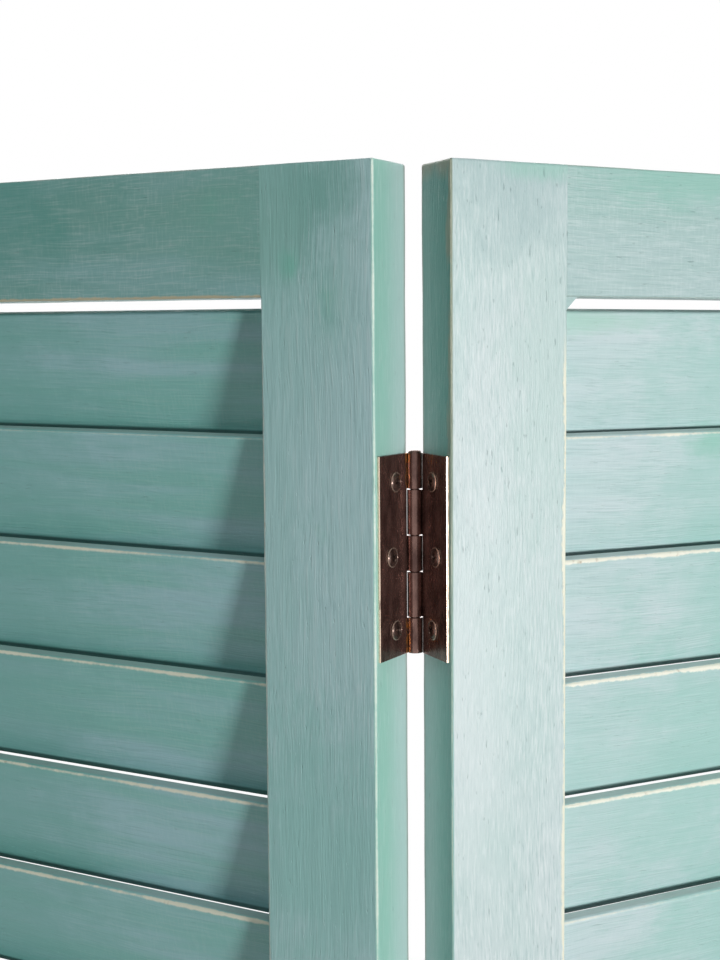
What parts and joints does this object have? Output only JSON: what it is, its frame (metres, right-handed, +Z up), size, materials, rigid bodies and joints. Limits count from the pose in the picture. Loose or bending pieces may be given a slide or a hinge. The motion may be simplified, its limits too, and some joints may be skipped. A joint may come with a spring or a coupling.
{
  "type": "folding screen",
  "caption": "Free-standing louvred timber folding screen: slatted panels joined by butt hinges into a zigzag that folds flat.",
  "frame": {"origin": "on the floor under the middle of the centre panel, which is the middle of the whole screen as it stands", "axes": "+Z up, +X along the run of the screen from the left panel to the right panel, -Y towards its front"},
  "size_m": [1.104, 0.1998, 1.7],
  "materials": {
    "painted_timber": "brushed blue-green paint, worn along the edges",
    "painted_louvre": "brushed blue-green paint, worn along the edges",
    "dowel_wood": "bare beech",
    "bronzed_steel": "dark bronzed plating, rubbed bright on the edges",
    "bronzed_screw": "dark bronzed plating, rubbed bright on the rims"
  },
  "bodies": {
    "left_panel": {"left_panel_left_stile": "painted_timber", "left_panel_right_stile": "painted_timber", "left_panel_top_rail": "painted_timber", "left_panel_middle_rail": "painted_timber", "left_panel_bottom_rail": "painted_timber", "left_panel_upper_louvres": "painted_louvre", "left_panel_lower_louvres": "painted_louvre", "left_panel_dowels": "dowel_wood", "left_top_hinge_wing_leaf": "bronzed_steel", "left_top_hinge_pin": "bronzed_steel", "left_top_hinge_wing_screws": "bronzed_screw", "left_middle_hinge_wing_leaf": "bronzed_steel", "left_middle_hinge_pin": "bronzed_steel", "left_middle_hinge_wing_screws": "bronzed_screw", "left_bottom_hinge_wing_leaf": "bronzed_steel", "left_bottom_hinge_pin": "bronzed_steel", "left_bottom_hinge_wing_screws": "bronzed_screw"},
    "centre_panel": {"centre_panel_left_stile": "painted_timber", "centre_panel_right_stile": "painted_timber", "centre_panel_top_rail": "painted_timber", "centre_panel_middle_rail": "painted_timber", "centre_panel_bottom_rail": "painted_timber", "centre_panel_upper_louvres": "painted_louvre", "centre_panel_lower_louvres": "painted_louvre", "centre_panel_dowels": "dowel_wood", "left_top_hinge_centre_leaf": "bronzed_steel", "left_top_hinge_centre_screws": "bronzed_screw", "left_middle_hinge_centre_leaf": "bronzed_steel", "left_middle_hinge_centre_screws": "bronzed_screw", "left_bottom_hinge_centre_leaf": "bronzed_steel", "left_bottom_hinge_centre_screws": "bronzed_screw", "right_top_hinge_centre_leaf": "bronzed_steel", "right_top_hinge_centre_screws": "bronzed_screw", "right_middle_hinge_centre_leaf": "bronzed_steel", "right_middle_hinge_centre_screws": "bronzed_screw", "right_bottom_hinge_centre_leaf": "bronzed_steel", "right_bottom_hinge_centre_screws": "bronzed_screw"},
    "right_panel": {"right_panel_left_stile": "painted_timber", "right_panel_right_stile": "painted_timber", "right_panel_top_rail": "painted_timber", "right_panel_middle_rail": "painted_timber", "right_panel_bottom_rail": "painted_timber", "right_panel_upper_louvres": "painted_louvre", "right_panel_lower_louvres": "painted_louvre", "right_panel_dowels": "dowel_wood", "right_top_hinge_wing_leaf": "bronzed_steel", "right_top_hinge_pin": "bronzed_steel", "right_top_hinge_wing_screws": "bronzed_screw", "right_middle_hinge_wing_leaf": "bronzed_steel", "right_middle_hinge_pin": "bronzed_steel", "right_middle_hinge_wing_screws": "bronzed_screw", "right_bottom_hinge_wing_leaf": "bronzed_steel", "right_bottom_hinge_pin": "bronzed_steel", "right_bottom_hinge_wing_screws": "bronzed_screw"}
  },
  "joints": [
    {"name": "left_fold", "type": "hinge", "parent": "centre_panel", "child": "left_panel", "pos_m": [-0.18489, -0.08302, 0], "axis": [0, 0, 1], "range_deg": [-125.5, 57]},
    {"name": "right_fold", "type": "hinge", "parent": "centre_panel", "child": "right_panel", "pos_m": [0.18489, 0.08302, 0], "axis": [0, 0, 1], "range_deg": [-125.5, 57]}
  ]
}
